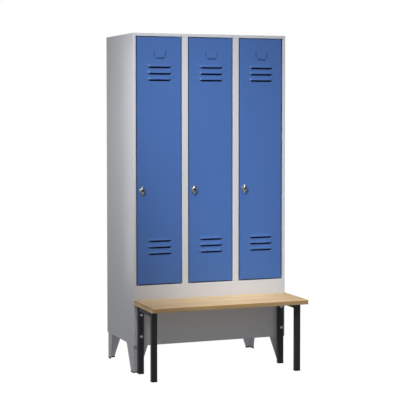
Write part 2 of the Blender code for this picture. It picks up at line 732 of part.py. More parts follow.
def build_leg_cap(name, left, front):
    """A square sole with the plug that holds it in its tube."""
    work = bmesh.new()
    block(work, (left, front, 0), (left + LEG_SIDE, front + LEG_SIDE, LEG_CAP_HEIGHT))
    top = [face for face in work.faces if face.normal.z > math.cos(math.radians(1))]
    bmesh.ops.inset_region(work, faces=top, thickness=LEG_WALL + SEAT_GAP, use_even_offset=True)
    raised = bmesh.ops.extrude_face_region(work, geom=top)["geom"]
    bmesh.ops.delete(work, geom=top, context="FACES")
    bmesh.ops.translate(work, vec=(0, 0, LEG_PLUG_HEIGHT),
                        verts=[item for item in raised if isinstance(item, bmesh.types.BMVert)])
    add_part(name, finish_mesh(name, work), BLACK_PLASTIC)


def build_bolts(hand, across):
    """Round-headed bolts through a rear leg and the lower front panel."""
    head_face = FRONT - 2 * SEAT_GAP - LEG_SIDE
    shank = LEG_SIDE + 2 * SEAT_GAP + SHEET + BOLT_END
    angles = [math.pi / 2 * step / BOLT_HEAD_STEPS for step in range(1, BOLT_HEAD_STEPS + 1)]
    dome = [(BOLT_HEAD_RADIUS * math.sin(angle), BOLT_HEAD_HEIGHT * math.cos(angle)) for angle in angles]
    outline = ((0, BOLT_HEAD_HEIGHT), *dome, (BOLT_RADIUS, 0), (BOLT_RADIUS, -shank), (0, -shank))
    for end, level in bolt_levels().items():
        name = f"bench_bolt_{end}_{hand}"
        place = Matrix.Translation((across, head_face, level)) @ FACING_FRONT
        turn(add_part(name, outline_mesh(name, outline), ZINC, place))


build_shell()
build_front_frame()
build_inside()
build_feet()
for door_number in range(COMPARTMENTS):
    build_lock(door_number, build_door(door_number))
build_bench()
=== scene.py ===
"""Looks of a steel cloakroom locker with a bench bolted to its front.

Metres, +Z up, in the CAD model's frame: the locker's front and the bench face -Y, and
the floor is at nought.
"""
import json
import math

import bmesh
import bpy
import numpy as np
from mathutils import Euler, Matrix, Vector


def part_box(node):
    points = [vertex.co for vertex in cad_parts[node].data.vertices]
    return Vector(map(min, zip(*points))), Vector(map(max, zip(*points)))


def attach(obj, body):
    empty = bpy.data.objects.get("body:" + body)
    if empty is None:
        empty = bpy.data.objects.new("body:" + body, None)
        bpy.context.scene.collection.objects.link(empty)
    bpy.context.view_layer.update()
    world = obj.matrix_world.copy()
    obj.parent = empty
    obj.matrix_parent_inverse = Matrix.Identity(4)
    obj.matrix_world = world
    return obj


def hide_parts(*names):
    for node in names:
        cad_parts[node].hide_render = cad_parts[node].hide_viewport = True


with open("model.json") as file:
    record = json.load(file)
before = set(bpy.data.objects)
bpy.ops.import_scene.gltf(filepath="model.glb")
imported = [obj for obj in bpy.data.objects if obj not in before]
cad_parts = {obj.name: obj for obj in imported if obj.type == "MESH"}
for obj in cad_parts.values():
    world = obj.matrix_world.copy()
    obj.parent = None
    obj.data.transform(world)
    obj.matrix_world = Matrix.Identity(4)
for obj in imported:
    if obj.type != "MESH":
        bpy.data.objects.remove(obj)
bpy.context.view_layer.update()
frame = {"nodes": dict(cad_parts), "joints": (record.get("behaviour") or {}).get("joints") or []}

# Places read from the CAD model
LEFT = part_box("side_panel_left")[0].x
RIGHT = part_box("side_panel_right")[1].x
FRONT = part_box("side_panel_left")[0].y
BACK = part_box("side_panel_left")[1].y
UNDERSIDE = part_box("side_panel_left")[0].z
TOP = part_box("side_panel_left")[1].z
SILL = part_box("lower_front_panel")[1].z
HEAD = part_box("top_panel")[0].z
FRAME_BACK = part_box("mullion_1")[1].y
EDGES = (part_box("post_left")[1].x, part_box("mullion_1")[0].x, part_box("mullion_1")[1].x,
         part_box("mullion_2")[0].x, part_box("mullion_2")[1].x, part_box("post_right")[0].x)
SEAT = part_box("seat_board")

# Bodies that move, from the left
DOOR_BODIES = ("left_door", "middle_door", "right_door")
LOCK_BODIES = ("left_lock", "middle_lock", "right_lock")

# Openings of the front frame, cut back from the CAD model's edges beside each door and below it
EDGE_TRIMS = ((0.0035, 0.0025), (0.0035, 0.0025), (0.0032, 0.0050))
SILL_TRIM = 0.0020
OPENING_LOW = SILL - SILL_TRIM
OPENINGS = tuple((left - before, right + after)
                 for left, right, (before, after) in zip(EDGES[::2], EDGES[1::2], EDGE_TRIMS))

# Folded sheet: a support line beside each bend keeps the flats flat under smooth shading
SHEET = 0.001
SUPPORT = 0.0006
CORNER_BEND = 0.0042
OPENING_BEND = 0.0024
QUARTER = math.pi / 2

# Doors
DOOR_DEPTH = 0.016
DOOR_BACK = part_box("door_1")[1].y
DOOR_FACE = DOOR_BACK - DOOR_DEPTH
DOOR_BEND = 0.0020
DOOR_BACK_BEND = 0.0015
DOOR_RETURN = 0.012

# Louvres: the middles of the two groups of lips stand below the head and above the sill
LOUVRE_WIDTH = 0.132
LOUVRE_HEIGHT = 0.020
LOUVRE_PROUD = 0.0060
LOUVRE_PITCH = 0.035
LOUVRE_END = 0.013
LOUVRE_SHIFT = 0.0025
LOUVRE_SLOT = 0.0098
LOUVRE_DROP = 0.198
LOUVRE_RISE = 0.208
LOUVRE_SWELL_POWER = 0.7
LINE_TOLERANCE = 0.0001

# Card holder: two upright strips and a foot, with narrow cuts along them
CARD_DROP = 0.118
CARD_SHIFT = 0.0055
CARD_HALF_SPAN = 0.0325
TAB_WIDTH = 0.0030
TAB_CUT = 0.0015
TAB_HEIGHT = 0.030
TAB_LIFT = 0.009
TAB_PROUD = 0.0016
TAB_FOOT = 0.050
TAB_FOOT_CUT = 0.0024
TAB_POWER = 16
TAB_STATIONS = np.array([-1, -0.96, -0.90, -0.80, 0, 0.80, 0.90, 0.96, 1])

# Feet
FOOT_WALL = 0.002
FOOT_BEND = 0.0045
FOOT_BOTTOM_WIDTH = 0.036
FOOT_BOTTOM_LENGTH = 0.041

# Bench
STAVE = 0.0450
SEAT_CORNER = 0.0050
SEAT_TOP_BEND = 0.0050
SEAT_LOW_BEND = 0.0030
TUBE_BEND = 0.0030
TUBE_WALL = 0.0015
TUBE_STATIONS = (0, 0.02, 0.5, 0.98, 1)
SCREW_INSET = 0.045
SCREW_GAP = 0.0003
WELD_SIZE = 0.0022
WELD_CORNER = 0.002
WELD_OUT = 0.0014
WELD_LIFT = 0.0002
WELD_WALL = 0.0006
WELD_RIPPLE = 0.16
WELD_RIPPLE_TURN = 2.1
LEG_GAP = 0.0003

# Small parts of the compartments, the doors and the bench. The underside of a bolt's head is given
# as a share of the head's radius.
RAIL_WALL = 0.0012
COLLAR_HEIGHT = 0.0017
BUFFER_INSET = 0.080
BUFFER_STAND = 0.0034
KNOB_WIDTH = 0.030
KNOB_HEIGHT = 0.049
KNOB_POWER = 1.36
KNOB_LEAN = math.radians(4)
BOLT_HEAD = 0.005
BOLT_RIM = 0.0008
BOLT_DOME = 0.0042
BOLT_UNDERSIDE = 0.97
BOLT_ROUNDING = 0.0003
BOLT_RADIUS = 0.0040
BOLT_END_RADIUS = 0.0034
BOLT_CHAMFER = 0.0007
NUT_RADIUS = 0.0065
NUT_BORE = 0.0042
NUT_GAP = 0.0002

# Profiles of turned parts: pairs of a radius and a height. In the knob and the nut the first number
# is a share of the outline's radius.
RAIL_SOCKET = ((0.016, 0.0), (0.016, 0.0012), (0.0125, 0.0016), (0.0122, 0.0095), (0.0115, 0.0100))
COLLAR = ((0, 0), (0.0045, 0), (0.0045, COLLAR_HEIGHT), (0, COLLAR_HEIGHT))
BUFFER = ((0, 0), (0.0034, 0), (0.0040, 0.0006), (0.0040, 0.0022), (0.0032, 0.0031), (0, 0.0033))
ROSE = ((0.0065, -0.0215), (0.0100, -0.0215), (0.0100, 0.0003), (0.0142, 0.0003), (0.0150, 0.0009),
        (0.0148, 0.0019), (0.0136, 0.0027), (0.0104, 0.0029), (0.0096, 0.0036), (0.0090, 0.0046),
        (0.0088, 0.0074), (0.0084, 0.0077), (0.0065, 0.0077), (0.0065, -0.0215))
KNOB = ((0, 0.0080), (0.20, 0.0080), (0.88, 0.0080), (0.95, 0.0083), (1.0, 0.0094), (1.0, 0.0112),
        (0.985, 0.0122), (0.70, 0.0168), (0.655, 0.0177), (0.61, 0.0180), (0.57, 0.0177),
        (0.54, 0.0168), (0.46, 0.0128), (0.42, 0.0118), (0.36, 0.0115), (0, 0.0115))
# A black insert in the knob's dish: a lock's core, and also painted shade and reflection
CORE_AND_PAINTED_REFLECTION = ((0, 0.0100), (0.0052, 0.0100), (0.0052, 0.0140), (0.0048, 0.0145), (0, 0.0145))
SPINDLE = ((0, -0.0240), (0.0058, -0.0240), (0.0058, 0.0085), (0, 0.0085))
SCREW = ((0, -0.0034), (0.0028, -0.0033), (0.0052, -0.0024), (0.0062, -0.0008), (0.0062, 0.0), (0, 0.0))
NUT = ((NUT_BORE / NUT_RADIUS, -0.0062), (0.90, -0.0062), (1.0, -0.0056), (1.0, -0.0006), (0.92, 0.0),
       (NUT_BORE / NUT_RADIUS, 0.0), (NUT_BORE / NUT_RADIUS, -0.0062))

# How finely shapes are divided; a fan is the steps in which a rectangle's corner is turned
CORNER_FAN = 5
DOOR_FAN = 4
BENCH_FAN = 5
BEND_STEPS = 4
TURN_STEPS = 48
ROSE_STEPS = 64
KNOB_STEPS = 96
SMALL_STEPS = 40
DOME_STEPS = 8
LOUVRE_STEPS = 9
LOUVRE_END_STEPS = 6
FOOT_STEPS = 12
FOOT_FLANGE_STEPS = 4
FOOT_BEND_STEPS = 6
WELD_STEPS = 4
WELD_ACROSS = 40
WELD_UP = 48

# Meshing: distances in metres, and the angles in degrees from which an edge is sharp
MERGE_DISTANCE = 0.00002
SLIVER = 0.00001
SHARP_ANGLE = 32
NUT_SHARP_ANGLE = 20

# Light, and the camera: pitch and yaw in degrees, shift in sensor widths, focal length in pixels
BACKDROP = 1.0
AMBIENT = 0.283
FLOOR_REACH = 60
FLOOR_GLOW = 0.975
SPOT_SOFTNESS = 0.35
CAMERA_PLACE = (-2.5638, -6.7369, 1.4431)
CAMERA_PITCH = 2.582
CAMERA_YAW = 20.973
CAMERA_SHIFT = -0.100
FOCAL_PIXELS = 1289.0
PICTURE_PIXELS = 416
SENSOR_WIDTH = 36.0


# Meshes

class Sheet:
    """Grids of points, each a function of two parameters, that are joined into one mesh.

    A grid's rows run up and its columns run to the right for someone who sees its front.
    """

    def __init__(self):
        self.points = []
        self.faces = []
        self.count = 0

    def add(self, grid, loop=False, keep=None):
        """Takes a grid of points in, closes its columns into a loop, and leaves out squares."""
        rows, columns = grid.shape[:2]
        starts = np.arange(columns if loop else columns - 1)
        row, column = np.meshgrid(np.arange(rows - 1), starts, indexing="ij")
        beside = (column + 1) % columns
        squares = np.stack((row * columns + column, row * columns + beside,
                            (row + 1) * columns + beside, (row + 1) * columns + column), -1)
        squares = squares[keep] if keep is not None else squares.reshape(-1, 4)
        self.points.append(grid.reshape(-1, 3))
        self.faces.append(squares + self.count)
        self.count += rows * columns
        return self

    def make(self, name, finish, body, slot, replaced=(), wall=0.0, sharp=SHARP_ANGLE):
        """Makes the mesh: merged, facing out, with a wall if it is open, and smooth over its bends."""
        points = np.concatenate(self.points).astype(np.float32)
        faces = np.concatenate(self.faces)
        mesh = bpy.data.meshes.new(name)
        mesh.vertices.add(len(points))
        mesh.vertices.foreach_set("co", points.ravel())
        mesh.loops.add(faces.size)
        mesh.loops.foreach_set("vertex_index", faces.ravel())
        mesh.polygons.add(len(faces))
        mesh.polygons.foreach_set("loop_start", np.arange(0, faces.size, 4))
        mesh.update(calc_edges=True)
        mesh.validate()
        work = bmesh.new()
        work.from_mesh(mesh)
        bmesh.ops.remove_doubles(work, verts=work.verts, dist=MERGE_DISTANCE)
        bmesh.ops.dissolve_degenerate(work, edges=work.edges, dist=SLIVER)
        bmesh.ops.recalc_face_normals(work, faces=work.faces)
        work.to_mesh(mesh)
        work.free()
        face_out(mesh)
        piece = put_in_scene(name, mesh)
        if wall:
            thicken(piece, wall)
        piece.data.shade_smooth()
        piece.data.set_sharp_from_angle(angle=math.radians(sharp))
        piece.data.materials.clear()
        piece.data.materials.append(finish)
        if replaced:
            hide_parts(*replaced)
        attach(piece, body)


def put_in_scene(name, data):
    """A new object with this data, linked to the scene."""
    item = bpy.data.objects.new(name, data)
    bpy.context.scene.collection.objects.link(item)
    return item


def face_out(mesh):
    """Turns a mesh whose faces agree so that, weighed by area, they look away from its middle."""
    count = len(mesh.polygons)
    normal = np.empty(count * 3)
    centre = np.empty(count * 3)
    area = np.empty(count)
    mesh.polygons.foreach_get("normal", normal)
    mesh.polygons.foreach_get("center", centre)
    mesh.polygons.foreach_get("area", area)
    centre = centre.reshape(-1, 3)
    middle = (centre.min(0) + centre.max(0)) / 2
    if (((centre - middle) * normal.reshape(-1, 3)).sum(1) * area).sum() < 0:
        mesh.flip_normals()


def thicken(piece, wall):
    """Gives an open sheet its wall, on the inside, and keeps the result as the piece's mesh."""
    solid = piece.modifiers.new("wall", "SOLIDIFY")
    solid.thickness = wall
    solid.offset = -1
    solid.use_even_offset = False
    bpy.context.view_layer.update()
    thick = bpy.data.meshes.new_from_object(piece.evaluated_get(bpy.context.evaluated_depsgraph_get()))
    piece.modifiers.clear()
    piece.data = thick


def lines(*places):
    """Places along one axis in rising order, each once, to a tenth of a micrometre."""
    return np.unique(np.round(np.array(places, float), 7))


def between_bends(low, high, radius):
    """Where the flat between two bends begins and ends, each with its support line."""
    return [low + radius, low + radius + SUPPORT, high - radius - SUPPORT, high - radius]


def flat(across, up, depth):
    """A plane that faces the front: across along X, up along Z, at one Y."""
    x, z = np.meshgrid(across, up)
    return np.stack((x, np.full_like(x, depth), z), -1)


def lid(across, along, level):
    """A level plane through lines across in X and lines along in Y, at one Z."""
    x, y = np.meshgrid(across, along)
    return np.stack((x, y, np.full_like(x, level)), -1)


def middles(grid):
    """The middle of each of a grid's squares."""
    return (grid[1:, 1:] + grid[:-1, :-1]) / 2


def in_holes(grid, holes):
    """Which squares lie in a hole, seen from the front: a left, a right, a lower and an upper edge."""
    middle = middles(grid)
    opened = np.zeros(middle.shape[:2], bool)
    for left, right, low, high in holes:
        opened |= ((middle[..., 0] > left) & (middle[..., 0] < right)
                   & (middle[..., 2] > low) & (middle[..., 2] < high))
    return opened


def rectangle_path(across, up, fan):
    """Points round a rectangle through the given lines, with their outward normals.

    At each corner the normal turns by a right angle in fan steps while the point stays.
    """
    low = np.stack((across, np.full_like(across, up[0])), 1)
    right = np.stack((np.full_like(up, across[-1]), up), 1)
    high = np.stack((across[::-1], np.full_like(across, up[-1])), 1)
    left = np.stack((np.full_like(up, across[0]), up[::-1]), 1)
    points = []
    angles = []
    for number, side in enumerate((low, right, high, left)):
        start = QUARTER * (number - 1)
        points += [side, np.repeat(side[-1:], fan - 1, 0)]
        angles += [np.full(len(side), start), start + QUARTER * np.arange(1, fan) / fan]
    points = np.concatenate(points)
    angles = np.concatenate(angles)
    return points, np.stack((np.cos(angles), np.sin(angles)), 1)


def offset_ring(path, out):
    """The path moved out along its normals, or, for a negative offset, drawn in to a smaller rectangle."""
    points, normals = path
    if out >= 0:
        return points + normals * out
    return np.clip(points, points.min(0) - out, points.max(0) + out)


def bend(radius, steps=BEND_STEPS):
    """A quarter turn: how far it has gone sideways and how far down, from flat to upright."""
    angle = np.linspace(0, QUARTER, steps + 1)
    return radius * np.sin(angle), radius * (1 - np.cos(angle))


def carried(path, profile, place):
    """A profile of (offset, height) pairs carried round a path; place sets the two axes and the height."""
    rows = []
    for out, height in profile:
        ring = offset_ring(path, out)
        rows.append(place(ring[:, 0], ring[:, 1], np.full(len(ring), height)))
    return np.stack(rows)


def on_front(across, up, depth):
    """Places a path upright, in X and Z, with its heights along +Y."""
    return np.stack((across, depth, up), -1)


def on_floor(across, along, height):
    """Places a path level, in X and Y, with its heights along +Z."""
    return np.stack((across, along, height), -1)


def turned(profile, place, steps=TURN_STEPS, outline=None):
    """A profile of (radius, height) pairs turned about an axis, bottom first up its outer side.

    With an outline, a function of the angle that gives a radius, each profile radius is a share of it.
    """
    angle = np.linspace(0, 2 * math.pi, steps, endpoint=False)
    reach = np.ones_like(angle) if outline is None else outline(angle)
    radius = np.array([point[0] for point in profile])[:, None] * reach
    height = np.array([point[1] for point in profile])[:, None] + 0 * reach
    return place(radius * np.cos(angle), radius * np.sin(angle), height)


def proud_of_front(x, y, z, lean=0.0):
    """Places a turned shape on the front at a point, its height towards -Y, leaning anticlockwise."""
    c = math.cos(lean)
    s = math.sin(lean)
    return lambda a, b, h: np.stack((x + a * c - b * s, y - h, z + a * s + b * c), -1)


def upright(x, y, z):
    """Places a turned shape with its height along +Z."""
    return lambda a, b, h: np.stack((x + a, y + b, z + h), -1)


def lying(x, y, z):
    """Places a turned shape with its height along +X."""
    return lambda a, b, h: np.stack((x + h, y + a, z + b), -1)


def node_middle(node):
    """The middle of a CAD node's box."""
    low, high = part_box(node)
    return [(near + far) / 2 for near, far in zip(low, high)]


# Shader maths

class Value:
    """A shader socket with arithmetic: every operator on it adds a Math node."""

    def __init__(self, tree, socket):
        self.tree = tree
        self.socket = socket

    def worked(self, operation, *operands):
        """The result of a Math node on the operands."""
        node = self.tree.nodes.new("ShaderNodeMath")
        node.operation = operation
        for slot, operand in zip(node.inputs, operands):
            plug(self.tree, slot, operand)
        return Value(self.tree, node.outputs[0])

    def __add__(self, other):
        return self.worked("ADD", self, other)

    __radd__ = __add__

    def __mul__(self, other):
        return self.worked("MULTIPLY", self, other)

    def __sub__(self, other):
        return self.worked("SUBTRACT", self, other)

    def __rsub__(self, other):
        return self.worked("SUBTRACT", other, self)

    def __truediv__(self, other):
        return self.worked("DIVIDE", self, other)

    def __pow__(self, other):
        return self.worked("POWER", self, other)

    def floor(self):
        return self.worked("FLOOR", self)

    def fraction(self):
        return self.worked("FRACT", self)

    def least(self, other):
        return self.worked("MINIMUM", self, other)

    def most(self, other):
        return self.worked("MAXIMUM", self, other)

    def wave(self):
        """A sine between nought and one, with its crests sharpened."""
        return (self.worked("SINE", self) * 0.5 + 0.5) ** 2.0

    def between(self, low, high):
        """Rises from nought at low to one at high."""
        return ((self - low) / (high - low)).most(0.0).least(1.0)


def plug(tree, slot, given):
    """Links a socket to a value, or sets its own number or colour."""
    if isinstance(given, Value):
        tree.links.new(given.socket, slot)
    else:
        slot.default_value = given


class Finish:
    """A material with a Principled shader, whose fixed numbers are set on its own sockets."""

    def __init__(self, name, **fixed):
        self.material = bpy.data.materials.new(name)
        self.material.use_nodes = True
        self.tree = self.material.node_tree
        self.shader = self.tree.nodes["Principled BSDF"]
        self.set(**fixed)
        self.place = self.node("ShaderNodeTexCoord", {}, "Object")

    def node(self, kind, sockets, output=0, **settings):
        """Any node: its settings first, then the values or links of its sockets."""
        node = self.tree.nodes.new(kind)
        for name, setting in settings.items():
            setattr(node, name, setting)
        for name, given in sockets.items():
            plug(self.tree, node.inputs[name], given)
        return Value(self.tree, node.outputs[output])

    def axis(self, letter):
        """One coordinate of the object's own space."""
        return self.node("ShaderNodeSeparateXYZ", {"Vector": self.place}, letter)

    def joined(self, x, y, z):
        """A place made of three coordinates."""
        return self.node("ShaderNodeCombineXYZ", {"X": x, "Y": y, "Z": z})

    def chance(self, seed):
        """A random number for each seed."""
        return self.node("ShaderNodeTexWhiteNoise", {"W": seed}, noise_dimensions="1D")

    def noise(self, scale, detail, place=None, distortion=0.0):
        """Soft noise, by default in the object's own space."""
        return self.node("ShaderNodeTexNoise", {
            "Vector": place or self.place, "Scale": scale, "Detail": detail, "Distortion": distortion})

    def mixed(self, factor, first, second):
        """A mix of two colours. The node's sockets share their names, so they go by number."""
        return self.node("ShaderNodeMix", {0: factor, 6: first, 7: second}, 2, data_type="RGBA")

    def set(self, **given):
        """Sets or links the shader's sockets, written with an underscore for each space."""
        for socket, value in given.items():
            plug(self.tree, self.shader.inputs[socket.replace("_", " ")], value)

    def bumped(self, height, distance, strength):
        """Gives the surface a fine relief."""
        self.set(Normal=self.node("ShaderNodeBump", {
            "Height": height, "Distance": distance, "Strength": strength}))


def shade(colour, share=1.0):
    """A colour made lighter or darker, with its alpha."""
    return (*(part * share for part in colour), 1.0)


def powder_coat(name, colour, roughness):
    """Baked powder paint: orange peel a millimetre or two wide, fine grain, and faint clouds of tone."""
    coat = Finish(name)
    cloud = coat.noise(2.4, 3.0)
    peel = coat.noise(520.0, 1.0)
    grain = coat.noise(2600.0, 0.0)
    tone = coat.mixed(cloud, shade(colour, 0.975), shade(colour, 1.025))
    tone = coat.mixed(grain.between(0.60, 0.75) * 0.25, tone, shade(colour, 0.90))
    coat.set(Base_Color=tone, Roughness=roughness + (cloud - 0.5) * 0.08 + (peel - 0.5) * 0.10)
    coat.bumped(peel * 0.8 + grain * 0.2, 0.00012, 0.35)
    return coat.material


def lacquered_beech():
    """Glued staves with long fibres, slanted growth bands and short dark flecks under clear lacquer.

    Every stave has its own place along the grain and its own share of the two ground colours. The
    noises are stretched along X, the way the grain runs.
    """
    wood = Finish("lacquered_beech", Coat_Weight=0.05, Coat_Roughness=0.30, Specular_IOR_Level=0.30)
    x = wood.axis("X")
    y = wood.axis("Y")
    z = wood.axis("Z")
    low, high = SEAT
    strip = (y - low.y) / STAVE
    number = strip.floor()
    chance = wood.chance(number + 3.0)
    other = wood.chance(number + 41.0)
    along = x + chance * 9.0
    fibre = wood.noise(1.0, 3.0, wood.joined(along * 5.0, y * 620.0 + chance * 90.0, z * 620.0), 0.3)
    streak = wood.noise(1.0, 2.0, wood.joined(along * 1.7, y * 120.0 + other * 50.0, z * 90.0), 0.5)
    swell = wood.noise(1.0, 1.0, wood.joined(along * 1.1, y * 9.0 + chance * 5.0, z * 6.0))
    band = (swell * 34.0 + y * 150.0).wave()
    fleck = wood.noise(1.0, 1.0, wood.joined(along * 120.0, y * 1700.0, z * 1700.0)).between(0.66, 0.74)
    edge = strip.fraction()
    seam = 1.0 - edge.least(1.0 - edge).between(0.004, 0.018)
    # The upper part of the board's edges is darker
    above = z.between(high.z - 0.0130, high.z - 0.0110)
    below = 1.0 - z.between(high.z - 0.0014, high.z - 0.0004)
    # Arcs round a point near the right end, fading outwards
    arc_x = (x - high.x) * 6.0
    arc_y = (y - high.y + 0.090) * 15.0
    reach = (arc_x * arc_x + arc_y * arc_y) ** 0.5
    arcs = (reach * 17.0 + swell * 6.0).wave() * (1.0 - reach.between(0.6, 1.5))
    # A dark rim on top along both ends
    rim = 1.0 - (x - low.x).least(high.x - x).between(0.004, 0.009)
    top_side = z.between(high.z - 0.005, high.z - 0.003)
    tone = wood.mixed(other, shade((0.965, 0.735, 0.420)), shade((0.800, 0.585, 0.305)))
    for share, colour in (
            ((streak - 0.35).most(0.0) * 1.9, (0.600, 0.400, 0.185)),
            (band * 0.36, (0.560, 0.370, 0.175)),
            (fibre * 0.20, (0.480, 0.315, 0.150)),
            (fleck * 0.35, (0.300, 0.175, 0.080)),
            (seam * 0.65, (0.200, 0.120, 0.050)),
            (above * below * 0.42, (0.430, 0.250, 0.095)),
            (arcs * 0.45, (0.420, 0.250, 0.105)),
            (rim * top_side * 0.70, (0.330, 0.195, 0.080))):
        tone = wood.mixed(share, tone, shade(colour))
    wood.set(Base_Color=tone, Roughness=0.40 + (fibre - 0.5) * 0.12 + streak * 0.06)
    wood.bumped(fibre * 0.5 - fleck * 0.4 - seam * 1.2, 0.00018, 0.5)
    return wood.material


def bright_plate():
    """Nickel plate: smudged gloss and faint polishing lines."""
    plate = Finish("bright_nickel_plate", Metallic=1.0)
    smudge = plate.noise(160.0, 3.0)
    rub = plate.noise(1.0, 1.0, plate.node("ShaderNodeMapping", {
        "Vector": plate.place, "Scale": (2600.0, 300.0, 700.0)}))
    tone = plate.mixed(smudge, shade((0.66, 0.64, 0.60)), shade((0.56, 0.54, 0.50)))
    plate.set(Base_Color=tone, Roughness=0.16 + smudge * 0.14 + rub * 0.05)
    plate.bumped(rub, 0.00002, 0.4)
    return plate.material


def zinc_plate():
    """Zinc plate: mottled grey with a slightly yellow bloom."""
    plate = Finish("zinc_plate", Metallic=1.0)
    mottle = plate.noise(380.0, 3.0)
    bloom = plate.noise(90.0, 2.0)
    tone = plate.mixed(mottle, shade((0.82, 0.83, 0.84)), shade((0.70, 0.71, 0.72)))
    tone = plate.mixed(bloom * 0.3, tone, shade((0.74, 0.72, 0.62)))
    plate.set(Base_Color=tone, Roughness=0.24 + mottle * 0.16)
    plate.bumped(mottle, 0.00004, 0.4)
    return plate.material


def black_plastic():
    """Moulded black plastic with a fine even grain."""
    plastic = Finish("black_plastic")
    grain = plastic.noise(1500.0, 1.0)
    wear = plastic.noise(60.0, 2.0)
    tone = plastic.mixed(wear, shade((0.011, 0.011, 0.012)), shade((0.022, 0.022, 0.023)))
    plastic.set(Base_Color=tone, Roughness=0.48 + grain * 0.14)
    plastic.bumped(grain, 0.00006, 0.5)
    return plastic.material


GREY = powder_coat("light_grey_powder_coat", (0.640, 0.650, 0.690), 0.36)
BLUE = powder_coat("blue_powder_coat", (0.0615, 0.1510, 0.4290), 0.36)
BLACK = powder_coat("black_powder_coat", (0.016, 0.017, 0.024), 0.34)
BEECH = lacquered_beech()
NICKEL = bright_plate()
ZINC = zinc_plate()
PLASTIC = black_plastic()


def make_turned(name, profile, place, finish, body, slot, replaced=(), steps=TURN_STEPS, outline=None):
    """A closed piece turned about an axis."""
    Sheet().add(turned(profile, place, steps, outline), loop=True).make(name, finish, body, slot, replaced)


# Locker

def build_shell():
    """Sides, top and front frame, folded and welded into one sheet.

    A level line runs forward along one side, across the front and back along the other side; its
    normal turns at the two front corners. The line is carried up, and at the top its normal tilts
    to the vertical.
    """
    radius = CORNER_BEND
    over = OPENING_BEND
    fan = CORNER_FAN
    across = between_bends(LEFT, RIGHT, radius)
    for left, right in OPENINGS:
        across += [left - over - SUPPORT, left - over, right + over, right + over + SUPPORT]
    across = lines(*across)
    along = lines(FRONT + radius, FRONT + radius + SUPPORT, BACK - SUPPORT, BACK)
    up = lines(UNDERSIDE, UNDERSIDE + SUPPORT, OPENING_LOW - over - SUPPORT, OPENING_LOW - over, HEAD + over,
               HEAD + over + SUPPORT, TOP - radius - SUPPORT, TOP - radius)
    turn = QUARTER * np.arange(1, fan) / fan
    angle = np.concatenate((np.full(len(along), math.pi), math.pi + turn,
                            np.full(len(across), 1.5 * math.pi), 1.5 * math.pi + turn, np.zeros(len(along))))
    beside = len(along) + fan - 1
    x = np.concatenate((np.full(beside, across[0]), across, np.full(beside, across[-1])))
    y = np.concatenate((along[::-1], np.full(len(across) + 2 * (fan - 1), along[0]), along))
    tilt = np.concatenate((np.zeros(len(up)), QUARTER * np.arange(1, fan + 1) / fan))
    z = np.concatenate((up, np.full(fan, up[-1])))
    reach = radius * np.cos(tilt)[:, None]
    grid = np.stack((x + np.cos(angle) * reach, y + np.sin(angle) * reach,
                     (z + radius * np.sin(tilt))[:, None] + 0 * angle), -1)
    opened = in_holes(grid, [(left, right, OPENING_LOW, HEAD) for left, right in OPENINGS])
    in_front = middles(grid)[..., 1] < FRONT + radius / 2
    sheet = Sheet().add(grid, keep=~(opened & in_front))
    sheet.add(lid(across, along, TOP))
    side, down = bend(over)
    profile = [(-s, FRONT + d) for s, d in zip(side, down)] + [(-over, FRAME_BACK)]
    for left, right in OPENINGS:
        path = rectangle_path(lines(left - over, right + over), lines(OPENING_LOW - over, HEAD + over), 1)
        sheet.add(carried(path, profile, on_front), loop=True)
    # The mullions' backs
    for (_, left), (right, _) in zip(OPENINGS, OPENINGS[1:]):
        sheet.add(flat(np.array([left, right]), np.array([OPENING_LOW, HEAD]), FRAME_BACK))
    sheet.make("locker_shell", GREY, "locker", "light_grey_paint", (
        "side_panel_left", "side_panel_right", "post_left", "post_right", "mullion_1", "mullion_2",
        "lower_front_panel", "top_panel"), wall=SHEET)


def build_foot(node, toward_right, toward_back):
    """A folded angle: two flanges that narrow downwards, with a round bend between them."""
    low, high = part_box(node)
    radius = FOOT_BEND
    corner = (low.x if toward_right > 0 else high.x, low.y if toward_back > 0 else high.y)
    share = np.linspace(0, 1, FOOT_STEPS + 1)
    width = FOOT_BOTTOM_WIDTH + (high.x - low.x - FOOT_BOTTOM_WIDTH) * share
    length = FOOT_BOTTOM_LENGTH + (high.y - low.y - FOOT_BOTTOM_LENGTH) * share
    reach = np.linspace(1, 0, FOOT_FLANGE_STEPS + 1)
    angle = np.linspace(0, QUARTER, FOOT_BEND_STEPS + 1)[1:-1]
    side = radius + (length - radius)[:, None] * reach
    front = radius + (width - radius)[:, None] * reach[::-1]
    same = 0 * share[:, None]
    a = np.concatenate((0 * side, radius * (1 - np.sin(angle)) + same, front), 1)
    b = np.concatenate((side, radius * (1 - np.cos(angle)) + same, 0 * front), 1)
    z = (low.z + (high.z - low.z) * share)[:, None] + 0 * a
    grid = np.stack((corner[0] + toward_right * a, corner[1] + toward_back * b, z), -1)
    Sheet().add(grid).make(f"{node}_angle", GREY, "locker", "light_grey_paint", (node,), wall=FOOT_WALL)


def build_clothes_rail(node):
    """A tube with a flanged socket at each end."""
    low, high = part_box(node)
    _, y, z = node_middle(node)
    radius = (high.z - low.z) / 2
    bore = radius - RAIL_WALL
    length = high.x - low.x
    outer = [*RAIL_SOCKET, (radius, RAIL_SOCKET[-1][1])]
    profile = [(bore, 0.0), *outer, *[(r, length - h) for r, h in reversed(outer)],
               (bore, length), (bore, 0.0)]
    make_turned(f"{node}_tube", profile, lying(low.x, y, z), ZINC, "locker", "zinc", (node,))


# Doors

def smooth_rise(t):
    """Leaves nought level and comes to one at its steepest."""
    return 1 - np.cos(t * QUARTER)


def louvre_lips():
    """The levels of the louvres' lips, from the lowest."""
    steps = np.array([-1, 0, 1]) * LOUVRE_PITCH
    return np.concatenate((SILL + LOUVRE_RISE + steps, HEAD - LOUVRE_DROP + steps))


def door_edges(number):
    """A door's left, right, lower and upper edge; the gap round it is as wide as at its left."""
    low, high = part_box(f"door_{number + 1}")
    gap = low.x - EDGES[2 * number]
    return low.x, high.x, SILL + gap, HEAD - gap


